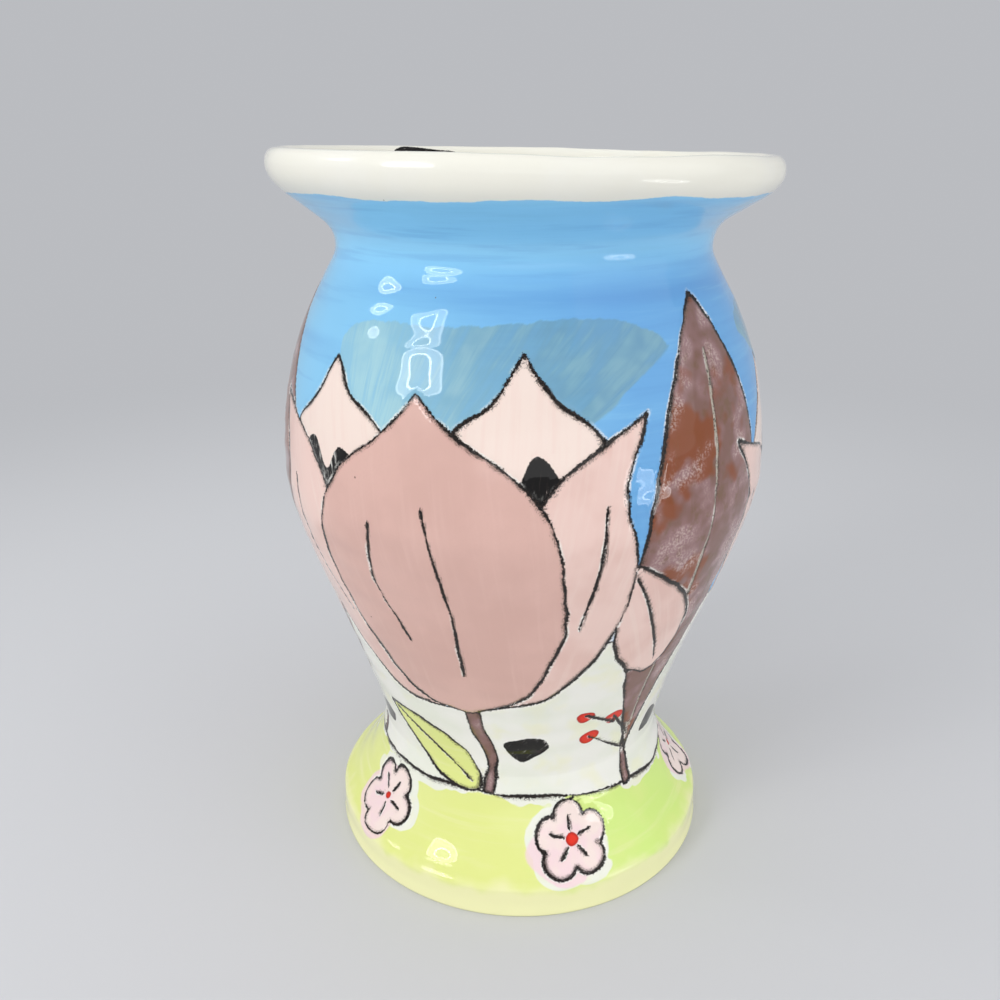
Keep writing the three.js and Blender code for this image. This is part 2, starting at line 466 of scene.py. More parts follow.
class Outside:
    """The whole outside of the vase, from under the foot to inside the lip, and the paint on it"""

    def __init__(self, outlines):
        rows = []
        self.first = {}
        for name, outline in outlines.items():
            painted = [p for p, kind in zip(outline.points, outline.kinds) if kind == PAINTED]
            self.first[name] = max(0, len(rows) - 1)
            rows += painted[1:] if rows else painted
        self.rows = np.array(rows)
        self.along_rows = lengths_along(self.rows)
        self.crest = self.rows[:, 1].argmax()

        spread = (AZIMUTHS, self.along_rows[:, None], self.rows[:, :1])
        shape = (len(rows), COLUMNS)
        self.azimuth, self.along, self.radius = (np.broadcast_to(values, shape).ravel() for values in spread)
        self.plain = turned_grid(self.rows).reshape(-1, 3)
        self.wobble = waves(self.plain, *WOBBLE)
        count = len(self.plain)
        self.fields = {name: np.full(count, FAR) for name in FIELDS}
        self.fade = np.zeros(count)
        self.brush = np.zeros((count, 2))
        self.strokes = 0

    def along_at(self, height):
        """Distance along the surface to a height on the way up"""
        rising = slice(0, self.crest + 1)
        return np.interp(height, self.rows[rising, 1], self.along_rows[rising])

    def spot(self, azimuth, height, girth=None):
        """A place to draw at, from its azimuth in degrees, its height and the radius to draw for"""
        along = self.along_at(height)
        return math.radians(azimuth), along, girth or np.interp(along, self.along_rows, self.rows[:, 0])

    def near(self, place, outline, margin):
        """Which points lie near an outline, and where, from its place"""
        azimuth, along, girth = place
        x = ((self.azimuth - azimuth + math.pi) % (2 * math.pi) - math.pi) * girth
        y = self.along - along
        reach = np.array([2, 1]) * margin
        low, high = outline.min(0) - reach, outline.max(0) + reach
        chosen = np.flatnonzero((x > low[0]) & (x < high[0]) & (y > low[1]) & (y < high[1]))
        return chosen, x[chosen], y[chosen], self.radius[chosen] / girth

    def paint(self, colour, place, outline, grain=0.0, fan=False):
        """Lays a closed shape of one colour over what is there. Its strokes run at grain degrees from
        upright, or spread from its place like a fan."""
        chosen, x, y, stretch = self.near(place, outline, FAR)
        nearest, _ = distance(np.concatenate([outline, outline[:1]]), x, y, stretch)
        signed = np.where(within(outline, x, y), -nearest, nearest)
        signed = np.clip(signed + self.wobble[chosen], -FAR, FAR)
        if colour in OUTLINED:
            self.carve(chosen, signed)
        self.fields[colour][chosen] = np.minimum(self.fields[colour][chosen], signed)
        if fan:
            across, lengthwise = np.arctan2(x, y) * outline[:, 1].max(), np.hypot(x, y)
        else:
            turn = math.radians(grain)
            across = x * math.cos(turn) - y * math.sin(turn)
            lengthwise = x * math.sin(turn) + y * math.cos(turn)
        self.strokes += 1
        covered = signed < LOOSE.get(colour, TIGHT)
        strokes = np.stack([across + STROKE_SHIFT * self.strokes, lengthwise], 1)
        self.brush[chosen[covered]] = strokes[covered]

    def carve(self, chosen, signed):
        """Clears the place of an outlined shape, and turns the line's sides to it"""
        for name in (*OUTLINED, *BRUSHED_ONLY):
            self.fields[name][chosen] = np.maximum(self.fields[name][chosen], -signed)
        self.fade[chosen] = np.minimum(self.fade[chosen], np.clip(signed / LINE_END, 0, 1))
        side = self.fields["side"][chosen]
        self.fields["side"][chosen] = np.where((signed < 0) | (signed < np.abs(side)), signed, side)

    def rule(self, name, height):
        """A line right round the vase, at a height for each point"""
        signed = np.clip(self.along - self.along_at(height) + self.wobble, -FAR, FAR)
        self.fields[name] = signed
        nearer = np.abs(signed) < np.abs(self.fields["side"])
        self.fields["side"] = np.where(nearer, signed, self.fields["side"])

    def incise(self, place, curve):
        """Draws an open line with the needle"""
        chosen, x, y, stretch = self.near(place, curve, VEIN_REACH + 1)
        nearest, side = distance(curve, x, y, stretch)
        fade = np.clip(VEIN_FADE - nearest, 0, 1)
        kept = (nearest < VEIN_REACH) & (fade > self.fade[chosen])
        chosen, signed = chosen[kept], (nearest * side)[kept]
        self.fields["vein"][chosen] = signed + 0.5 * self.wobble[chosen]
        self.fields["side"][chosen] = signed
        self.fade[chosen] = fade[kept]

    def shape(self):
        """Gives the surface its unevenness and its grooves, and works out its normals"""
        normals = grid_normals(self.plain.reshape(-1, COLUMNS, 3)).reshape(-1, 3)
        from_end = np.minimum(self.along, self.along_rows[-1] - self.along)
        lift = self.relief() * np.clip(from_end / SEAM_RELIEF, 0, 1)
        placed = settle(self.plain + normals * lift[:, None])
        self.points = placed.reshape(-1, COLUMNS, 3)
        self.normals = grid_normals(self.points)

    def relief(self):
        """How far the surface stands out from the plain turned form, in mm: never outwards"""
        points, height = self.plain, self.plain[:, 2]
        fingers = np.cos(2 * math.pi * height / FINGER_STEP + waves(points, FINGER_DRIFT))
        rings = FINGER_DEPTH * fingers * (1 + waves(points, FINGER_FORCE))
        joint = -JOINT_DIP * np.exp(-((height - WAIST_ABOVE) / JOINT_WIDTH) ** 2)
        outlines = np.min([np.abs(self.fields[name]) for name in OUTLINED], axis=0)
        needle = np.minimum(outlines, np.abs(self.fields["vein"]) + FADE_PUSH * (1 - self.fade))
        groove = -GROOVE_DEPTH * np.exp(-(needle / GROOVE_WIDTH) ** 2)
        burr = BURR_HEIGHT * np.exp(-((needle - BURR_PLACE) / BURR_WIDTH) ** 2)
        dabs = DAB_THICKNESS * np.clip(0.5 - np.minimum(self.fields["black"], self.fields["red"]), 0, 1)
        return np.minimum(waves(points, *LUMPS) + rings + joint + groove + burr + dabs - INSET, 0)


# Shapes of the design, in mm

# Points drawn from one given point to the next
CURVE_POINTS = 12


def smooth(points, corners=()):
    """A line drawn through points, round except at the corners, which are counted from 0"""
    points = np.array(points, float)
    stops = [0, *corners, len(points) - 1]
    t = np.linspace(0, 1, CURVE_POINTS + 1)[1:, None]
    drawn = [points[:1]]
    for first, last in zip(stops[:-1], stops[1:]):
        part = points[first:last + 1]
        padded = np.concatenate([[2 * part[0] - part[1]], part, [2 * part[-1] - part[-2]]])
        for a, b, c, d in zip(padded, padded[1:], padded[2:], padded[3:]):
            drawn.append(0.5 * (2 * b + (c - a) * t + (2 * a - 5 * b + 4 * c - d) * t ** 2
                                + (3 * b - a - 3 * c + d) * t ** 3))
    return np.concatenate(drawn)


def posed(points, size=1.0, lean=0.0, mirror=1, shift=(0.0, 0.0)):
    """Points scaled, leaned to the right by so many degrees, mirrored and shifted"""
    angle = math.radians(lean)
    x, y = points[:, 0] * size, points[:, 1] * size
    sine, cosine = math.sin(angle), math.cos(angle)
    return np.stack([x * cosine + y * sine, y * cosine - x * sine], 1) * [mirror, 1] + shift


def blade(length, width, bend, fullness):
    """A leaf or bud that grows up from 0, 0; a fullness above 1 makes it widest near its tip"""
    t = np.linspace(0, 1, 36)
    half = width / 2 * np.sin(math.pi * t ** fullness) ** BLADE_POINT
    middle = bend * t ** 2
    left = np.stack([middle - half, t * length], 1)
    right = np.stack([middle + half, t * length], 1)
    return np.concatenate([left, right[-2:0:-1]])


def dab(radius, seed):
    """A short stroke of a loaded brush, with blunt corners"""
    random = np.random.default_rng(seed)
    angle = (np.arange(DAB_CORNERS) + random.uniform(-0.3, 0.3, DAB_CORNERS)) * 2 * math.pi / DAB_CORNERS
    reach = radius * random.uniform(0.8, 1.2, DAB_CORNERS)
    points = reach[:, None] * np.stack([np.cos(angle), 0.8 * np.sin(angle)], 1)
    return smooth([*points, points[0]])


def blob(radius, seed, roughness=0.12):
    """A drop of paint, more or less round"""
    random = np.random.default_rng(seed)
    angle = np.linspace(0, 2 * math.pi, 40, endpoint=False)
    reach = np.ones(40)
    for k in (2, 3, 4):
        reach += roughness / math.sqrt(k) * np.cos(k * angle + random.uniform(0, 2 * math.pi))
    return radius * reach[:, None] * np.stack([np.cos(angle), 0.85 * np.sin(angle)], 1)


def rosette(radius):
    """A ring of petals"""
    angle = np.linspace(0, 2 * math.pi, 90, endpoint=False)
    reach = radius * (1 - PETAL_DEPTH + PETAL_DEPTH * np.abs(np.cos(PETALS * angle / 2)) ** 0.6)
    return reach[:, None] * np.stack([np.sin(angle), np.cos(angle)], 1)


def fan_outline():
    """A wedge with a wavy top and blunt corners, spread upwards round 0, 0"""
    share = np.linspace(-1, 1, 40)
    angle = np.interp(share, (-1, 1), FAN_SPREAD)
    rim = FAN_HEIGHT * (1 - 0.02 * np.cos(5 * angle - 0.9) + 0.006 * np.sin(13 * angle) - 0.12 * share ** 8)
    return np.concatenate([rim[:, None] * np.stack([np.tan(angle), np.ones(40)], 1), [(0, 0)]])


def ribbon(points, width):
    """A stem of even width along a line of points"""
    middle = smooth(points)
    direction = np.gradient(middle, axis=0)
    direction /= np.linalg.norm(direction, axis=1)[:, None]
    beside = np.stack([direction[:, 1], -direction[:, 0]], 1) * width / 2
    return np.concatenate([middle - beside, (middle + beside)[::-1]])


# A tulip from back to front, from where its stem meets it: colour, how many degrees more than the
# flower its strokes lean, its sharp corner, and its outline
TULIP = (
    ("pale", -8, 4, [(-60, 84), (-63, 104), (-57, 119), (-44, 130), (-34, 144), (-25, 131), (-12, 121),
                     (-4, 105), (-2, 84)]),
    ("pale", 8, 4, [(2, 84), (5, 103), (14, 118), (28, 128), (39, 141), (48, 126), (60, 114), (67, 98),
                    (66, 80)]),
    ("black", -12, None, [(-56, 78), (-52, 104), (-44, 115), (-36, 105), (-29, 113), (-20, 106), (-14, 84)]),
    ("black", 12, None, [(16, 84), (24, 105), (33, 102), (40, 110), (48, 100), (56, 101), (60, 76)]),
    ("blush", -16, 5, [(-2, 1), (-38, 6), (-65, 34), (-73, 72), (-69, 102), (-76, 129), (-47, 111),
                       (-30, 84), (-16, 40), (-2, 1)]),
    ("blush", 16, 5, [(2, 1), (40, 8), (64, 36), (69, 70), (67, 96), (78, 118), (48, 103), (32, 80),
                      (16, 40), (2, 1)]),
    ("pink", 0, 7, [(0, 0), (-27, 8), (-43, 36), (-46, 68), (-41, 90), (-29, 107), (-12, 118), (2, 131),
                    (15, 117), (31, 105), (42, 88), (45, 66), (43, 36), (28, 9), (0, 0)]),
)
TULIP_VEINS = (
    [(2, 22), (4, 56), (2, 94)],
    [(-18, 38), (-24, 64), (-19, 88)],
    [(-50, 44), (-58, 70), (-60, 98)],
    [(50, 42), (56, 66), (60, 90)],
)
# The radius that tulips and sprays are drawn for, and the width of a tulip's stem
TULIP_GIRTH = 90.0
TULIP_STEM = 6.5
# Tulips: azimuth in degrees, height of the foot of the flower, size, lean and mirroring
TULIPS = ((-15, 84, 1.0, -6, 1), (106, 90, 0.93, 6, -1), (-132, 84, 0.97, 5, 1))

# Blades: how blunt they are, and the length, width, bend and fullness of each
BLADE_POINT = 0.8
LOW_LEAF = (50, 21, -7, 0.85)
TALL_LEAF = (196, 58, 12, 1.25)
BUD = (66, 34, -5, 0.72)
LOW_LEAF_LEAN = -46
# How far a bud leans past the leaf behind it, and where on the stem it grows
BUD_LEAN = -20
BUD_PLACE = (-4, 50)

# Between the tulips stand a brown leaf, a bud and berries: azimuth, lean and mirroring
SPRAYS = ((45, -3, 1), (165, 3, -1), (-74, 0, -1))
SPRAY_LEVEL = 50
SPRAY_STEM = 5.0
# Berries beside a spray: how far right of its stem, height above their place, radius
BERRY_LEVEL = 56
BERRIES = ((-21, 12, 3.7), (-12, 20, 4.1), (-24, 25, 3.4))

# Brushed black dabs: azimuth, height, radius
DABS = ((3, 65, 8.5), (59, 60, 7.5), (126, 65, 8.5), (176, 60, 7.0), (-112, 64, 8.0), (-62, 60, 7.5))
DAB_CORNERS = 6
DAB_GRAIN = 35
# The dab inside the lip: azimuth, its radius and how far past the crest it is, stretch and grain
LIP_DAB = (-149, 6.5, (2.3, 0.8), 80)

# Teal washes on the sky, each spread from one point: azimuth, height, lean, mirroring
FANS = ((-35, 150, 0, 1), (134, 152, 2, -1), (-156, 147, -3, 1))
FAN_SPREAD = np.radians((-14, 56))
FAN_HEIGHT = 84.0

# Blossoms round the foot, with a line on each petal and paint that ran past them
BLOOM_COUNT = 5
BLOOM_START = 18
BLOOM_LEVEL = 25
BLOOM_RADIUS = 15.5
BLOOM_RUN = (-2.6, -2.8)
BLOOM_HEART = 2.3
PETALS = 5
PETAL_DEPTH = 0.3
PETAL_LINE = np.array([(0, 4.0), (0, 8.5)])


def hem_height(turn):
    return 39 + 3.5 * np.cos(turn + 1.0) + 1.2 * np.cos(3 * turn)


def horizon_height(turn):
    return 130 + 10 * np.cos(2 * turn + 2.1) + 4 * np.cos(3 * turn + 0.6)


def brim_height(turn):
    slip = 2.0 * np.exp(-((turn - 0.52) / 0.14) ** 2)
    ripple = 0.5 * np.cos(2 * turn + 1) + 0.4 * np.cos(7 * turn) + 0.2 * np.cos(17 * turn)
    return 267.6 + 1.4 * np.sin(turn) + ripple + slip


def paint_vase(skin):
    skin.rule("hem", hem_height(skin.azimuth))
    skin.rule("horizon", horizon_height(skin.azimuth))
    skin.fields["brim"] = np.clip(skin.along - skin.along_at(brim_height(skin.azimuth)), -FAR, FAR)

    for azimuth, height, lean, mirror in FANS:
        skin.paint("wash", skin.spot(azimuth, height), posed(fan_outline(), 1, lean, mirror), fan=True)
    for spray in SPRAYS:
        paint_spray(skin, *spray)
    for tulip in TULIPS:
        paint_tulip(skin, *tulip)

    for seed, (azimuth, height, radius) in enumerate(DABS):
        skin.paint("black", skin.spot(azimuth, height), dab(radius, seed), DAB_GRAIN)
    azimuth, below, stretch, grain = LIP_DAB
    turn, along, girth = skin.spot(azimuth, LIP_TOP)
    skin.paint("black", (turn, along + below, girth), blob(below, seed=2) * stretch, grain)

    for i in range(BLOOM_COUNT):
        place = skin.spot(BLOOM_START + 360 * i / BLOOM_COUNT, BLOOM_LEVEL)
        paint_bloom(skin, place, 25 * i)


def ground_below(skin, azimuth, place):
    """How far up from a place the foot's hem is"""
    return skin.along_at(hem_height(math.radians(azimuth))) - place[1]


def paint_blade(skin, place, colour, size, lean, mirror, shift=(0.0, 0.0)):
    """A blade with its midrib"""
    length, _, bend, _ = size
    t = np.linspace(0.1, 0.9, 24)
    midrib = np.stack([bend * t ** 2, t * length], 1)
    skin.paint(colour, place, posed(blade(*size), 1, lean, mirror, shift), lean * mirror)
    skin.incise(place, posed(midrib, 1, lean, mirror, shift))


def paint_tulip(skin, azimuth, height, size, lean, mirror):
    """A tulip, with a low leaf beside its stem"""
    place = skin.spot(azimuth, height, TULIP_GIRTH)
    ground = ground_below(skin, azimuth, place)
    stem = ribbon([(6, ground), (8, ground * 0.6), (2, ground * 0.25), (0, 4)], TULIP_STEM)
    low_place = skin.spot(azimuth, hem_height(math.radians(azimuth)) + 1)
    paint_blade(skin, low_place, "leaf", LOW_LEAF, LOW_LEAF_LEAN, 1)
    skin.paint("brown", place, posed(stem, mirror=mirror))
    for colour, spread, corner, points in TULIP:
        outline = smooth(points, () if corner is None else (corner,))
        skin.paint(colour, place, posed(outline, size, lean, mirror), (lean + spread) * mirror)
    for vein in TULIP_VEINS:
        skin.incise(place, posed(smooth(vein), size, lean, mirror))


def paint_spray(skin, azimuth, lean, mirror):
    """A tall brown leaf, a bud and berries"""
    place = skin.spot(azimuth, SPRAY_LEVEL, TULIP_GIRTH)
    stem = ribbon([(0, ground_below(skin, azimuth, place)), (-2, 24), (2, 52), (0, 70)], SPRAY_STEM)
    skin.paint("brown", place, posed(stem, 1, lean, mirror), lean * mirror)
    paint_blade(skin, place, "brown", TALL_LEAF, lean, mirror)
    paint_blade(skin, place, "blush", BUD, lean + BUD_LEAN, mirror, BUD_PLACE)
    low_place = skin.spot(azimuth, BERRY_LEVEL)
    for x, y, radius in BERRIES:
        skin.incise(low_place, smooth([(-1, y - 15), (x * 0.5, y - 8), (x, y)]))
        skin.paint("red", low_place, blob(radius, seed=int(10 * radius), roughness=0.06) + (x, y))


def paint_bloom(skin, place, lean):
    """A blossom, with a line up each petal; its pink ran past the line on one side"""
    run = posed(blob(BLOOM_RADIUS, seed=40 + lean), 1, lean, 1, BLOOM_RUN)
    skin.paint("spill", place, run, 60)
    skin.paint("bloom", place, posed(rosette(BLOOM_RADIUS), lean=lean))
    for k in range(PETALS):
        skin.incise(place, posed(PETAL_LINE, lean=lean + 360 / PETALS * k))
    skin.paint("red", place, blob(BLOOM_HEART, seed=60 + lean, roughness=0.08))


# Building the meshes

def turned(name, outline, outside):
    """A mesh turned from an outline; its outside is a part of the shared surface"""
    points = np.array(outline.points)
    kinds = np.array(outline.kinds)
    poles = [i for i in (0, len(points) - 1) if points[i, 0] < SAME_POINT]
    rings = [i for i in range(len(points)) if i not in poles]
    painted = kinds[rings] == PAINTED
    shared = slice(outside.first[name], outside.first[name] + painted.sum())

    grid = settle(turned_grid(points[rings]))
    grid[painted] = outside.points[shared]
    normals = np.zeros_like(grid)
    normals[painted] = outside.normals[shared]

    vertices = [grid.reshape(-1, 3)]
    faces, face_normals = ring_faces(normals, painted, closed=not poles)
    for pole in poles:
        vertices.append(np.array([[0, 0, points[pole, 1]]]))
        tip = len(rings) * COLUMNS + poles.index(pole)
        ring = 0 if pole == 0 else (len(rings) - 1) * COLUMNS
        first, second = ring + np.arange(COLUMNS), ring + (np.arange(COLUMNS) + 1) % COLUMNS
        low, high = (second, first) if pole == 0 else (first, second)
        faces += [(int(a), int(b), tip) for a, b in zip(low, high)]
        face_normals.append(np.zeros((COLUMNS * 3, 3)))

    mesh = bpy.data.meshes.new(name)
    mesh.from_pydata((np.concatenate(vertices) * MM).tolist(), [], faces)
    mesh.polygons.foreach_set("use_smooth", np.ones(len(mesh.polygons), bool))
    mark_sharp(mesh, [i for i, ring in enumerate(rings) if outline.sharp[ring]])
    mesh.normals_split_custom_set(np.concatenate(face_normals).tolist())

    mask = np.repeat(painted, COLUMNS)
    columns = slice(shared.start * COLUMNS, shared.stop * COLUMNS)
    for field, values in outside.fields.items():
        store(mesh, field, values[columns], mask, FAR)
    store(mesh, "fade", outside.fade[columns], mask, 0)
    for field, values in zip(("brush_across", "brush_along"), outside.brush[columns].T):
        store(mesh, field, values, mask, 0)
    store(mesh, "inside", 1.0, np.repeat(kinds[rings] == INSIDE, COLUMNS), 0, pole=1)
    store(mesh, "bare", 1.0, np.repeat(np.isin(kinds[rings], (BARE, HIDDEN)), COLUMNS), 0)
    return linked(name, mesh)


def linked(name, data):
    """A new object in the scene"""
    made = bpy.data.objects.new(name, data)
    bpy.context.scene.collection.objects.link(made)
    return made


def ring_faces(normals, painted, closed):
    """Faces between neighbouring rings of vertices, and the normals at their corners"""
    columns = np.arange(COLUMNS)
    following = (columns + 1) % COLUMNS
    faces, corner_normals = [], []
    count = len(normals)
    for i in range(count if closed else count - 1):
        j = (i + 1) % count
        low, high = i * COLUMNS, j * COLUMNS
        faces += np.stack([low + columns, low + following, high + following, high + columns], 1).tolist()
        corners = np.stack([normals[i], normals[i][following], normals[j][following], normals[j]], 1)
        shared = painted[i] and painted[j] and j == i + 1
        corner_normals.append((corners if shared else np.zeros_like(corners)).reshape(-1, 3))
    return faces, corner_normals


def mark_sharp(mesh, rings):
    ends = np.zeros(len(mesh.edges) * 2, np.int32)
    mesh.edges.foreach_get("vertices", ends)
    rows = ends.reshape(-1, 2) // COLUMNS
    sharp = (rows[:, 0] == rows[:, 1]) & np.isin(rows[:, 0], rings)
    mesh.edges.foreach_set("use_edge_sharp", sharp)


def store(mesh, name, values, mask, missing, pole=None):
    """Keeps a number for each vertex: values where mask is set, and what is missing elsewhere"""
    whole = np.full(len(mesh.vertices), missing if pole is None else pole, np.float32)
    whole[:len(mask)] = missing
    whole[:len(mask)][mask] = values
    mesh.attributes.new(name, "FLOAT", "POINT").data.foreach_set("value", whole)


# Materials

class Value:
    """A number in a node tree, to reckon with"""

    def __init__(self, tree, socket):
        self.tree = tree
        self.socket = socket

    def __add__(self, other):
        return self.tree.math("ADD", self, other)

    def __sub__(self, other):
        return self.tree.math("SUBTRACT", self, other)

    def __rsub__(self, other):
        return self.tree.math("SUBTRACT", other, self)

    def __mul__(self, other):
        return self.tree.math("MULTIPLY", self, other)

    def __pow__(self, other):
        return self.tree.math("POWER", self, other)

    def __abs__(self):
        return self.tree.math("ABSOLUTE", self)

    def smaller(self, other):
        return self.tree.math("MINIMUM", self, other)

    def larger(self, other):
        return self.tree.math("MAXIMUM", self, other)

    def ramp(self, start, end):
        """Smoothly from 0 at start to 1 at end"""
        settings = {"interpolation_type": "SMOOTHSTEP"}
        made = self.tree.node("ShaderNodeMapRange", settings, Value=self, From_Min=start, From_Max=end)
        return self.tree.value(made.outputs["Result"])

    def shifted(self, noise, reach):
        """Moved up or down by noise, by up to about half the reach"""
        return self + (noise - 0.5) * reach


class Tree:
    """Shorthand for building a node tree"""

    def __init__(self, tree):
        self.tree = tree

    def node(self, kind, settings=None, **inputs):
        made = self.tree.nodes.new(kind)
        for key, value in (settings or {}).items():
            setattr(made, key, value)
        self.fill(made, **inputs)
        return made

    def fill(self, node, **inputs):
        for key, value in inputs.items():
            self.feed(node.inputs[key.replace("_", " ")], value)

    def feed(self, socket, value):
        if isinstance(value, Value):
            value = value.socket
        if isinstance(value, bpy.types.NodeSocket):
            self.tree.links.new(value, socket)
        else:
            socket.default_value = value

    def value(self, socket):
        return Value(self, socket)

    def math(self, operation, *values):
        made = self.node("ShaderNodeMath", {"operation": operation})
        for socket, value in zip(made.inputs, values):
            self.feed(socket, value)
        return self.value(made.outputs[0])

    def mix(self, share, a, b):
        """Colour a, with a share of colour b over it"""
        made = self.node("ShaderNodeMix", {"data_type": "RGBA"}, Factor=share)
        for name, value in (("A", a), ("B", b)):
            socket = next(s for s in made.inputs if s.name == name and s.type == "RGBA")
            self.feed(socket, linear(value) if isinstance(value, tuple) else value)
        return next(s for s in made.outputs if s.type == "RGBA")

    def field(self, name):
        return self.value(self.node("ShaderNodeAttribute", {"attribute_name": name}).outputs["Fac"])

    def vector(self, x, y, z):
        return self.node("ShaderNodeCombineXYZ", X=x, Y=y, Z=z).outputs[0]

    def axes(self, vector):
        outputs = self.node("ShaderNodeSeparateXYZ", Vector=vector).outputs
        return [self.value(outputs[k]) for k in "XYZ"]

    def noise(self, vector, scale, detail, roughness):
        """Noise from 0 to 1 whose features are about 1 / scale apart"""
        made = self.node("ShaderNodeTexNoise", Vector=vector, Scale=scale)
        self.fill(made, Detail=detail, Roughness=roughness)
        return self.value(made.outputs["Fac"])

    def surface(self, output, share, first, second):
        """Mixes two shaders on the way to the tree's output"""
        mixed = self.node("ShaderNodeMixShader")
        for socket, value in zip(mixed.inputs, (share, first.outputs[0], second.outputs[0])):
            self.feed(socket, value)
        self.fill(self.tree.nodes[output], Surface=mixed.outputs[0])


# Each tone is a colour and the tints over it. A tint has a share, a colour, and one or more noises
# with the two values between which they bring it out.
TONES = {
    "sky": (
        SKY_LIT_AND_STREAKED,
        # Painted light: the sky darkens from left to right, as though lit from the left
        (1.0, SKY, ("sideways", -45.0, 30.0)),
        (0.65, SKY_DEEP, ("bands", 0.48, 0.68)),
        # Painted light: the sky is painted paler on the neck just under the lip, to stand in for light where
        # the lip shades it
        (0.8, SKY_PAINTED_LIGHT, ("z", 234.0, 254.0)),
        (0.4, SKY_LIT_AND_STREAKED, ("streaks", 0.5, 0.74)),
        (0.25, SKY_DEEP, ("streaks", 0.5, 0.32)),
    ),
    "wash": (WASH_LEFT, (1.0, WASH, ("sideways", -65.0, 5.0))),
    "wash_stroke": (WASH_STROKE_LEFT, (1.0, WASH_STROKE, ("sideways", -65.0, 5.0))),
    "cream": (
        CREAM,
        (1.0, CREAM_SHADE, ("blotches", 0.4, 0.66)),
        (0.35, LIME_PALE, ("patches", 0.52, 0.72)),
    ),
    "leaf": (
        LIME,
        (1.0, LIME_GREEN, ("sideways", 15.0, 75.0)),
        (0.5, LIME_YELLOW, ("blotches", 0.46, 0.7)),
        (0.3, LIME_PALE, ("streaks", 0.5, 0.75)),
        (0.9, LIME_PALE, ("low_edge", 15.0, 9.0)),
    ),
    "lip": (LIP_CREAM, (0.6, CREAM, ("blotches", 0.42, 0.7))),
    "pink": (
        PINK,
        (0.7, PINK_SHADE, ("blotches", 0.36, 0.64)),
        (0.35, BLUSH, ("drift", 0.52, 0.64)),
        (0.25, PINK_SHADE, ("tooth", 0.5, 0.7)),
        (0.15, BLUSH, ("bristles", 0.5, 0.75)),
    ),
    "blush": (BLUSH, (0.6, PINK, ("blotches", 0.44, 0.66)), (0.3, PALE, ("bristles", 0.45, 0.72))),
    "pale": (PALE, (0.35, BLUSH, ("bristles", 0.42, 0.75))),
    "bloom": (BLOOM, (0.7, LILAC, ("patches", 0.44, 0.6)), (0.3, PALE, ("mottle", 0.4, 0.7))),
    "brown": (
        BROWN,
        (1.0, MAUVE, ("patches", 0.4, 0.62)),
        (0.5, OLIVE, ("mottle", 0.5, 0.72)),
        (0.85, BROWN_RED, ("blotches", 0.52, 0.6)),
        (0.4, OLIVE, ("hairs", 0.54, 0.8)),
        (0.7, MAUVE_PALE, ("patches", 0.5, 0.66), ("tooth", 0.46, 0.6)),
    ),
    "black": (
        BLACK,
        (0.6, BLACK_THIN, ("hairs", 0.56, 0.78)),
        (0.7, HALO, ("dry_brush", 0.5, 0.62), ("patches", 0.42, 0.54)),
    ),
    "ink": (CHARCOAL, (0.6, CRUMB, ("grit", 0.46, 0.66))),
    "clay": (BARE_CLAY, (1.0, BARE_CLAY_SHADE, ("grit", 0.35, 0.7))),
}
# Painted with their own tones, one over the other
LAYERS = ("leaf", "pale", "blush", "pink", "brown", "bloom")
# Iron specks lie in some of the cells of this size, in mm
SPECK_CELL = 13


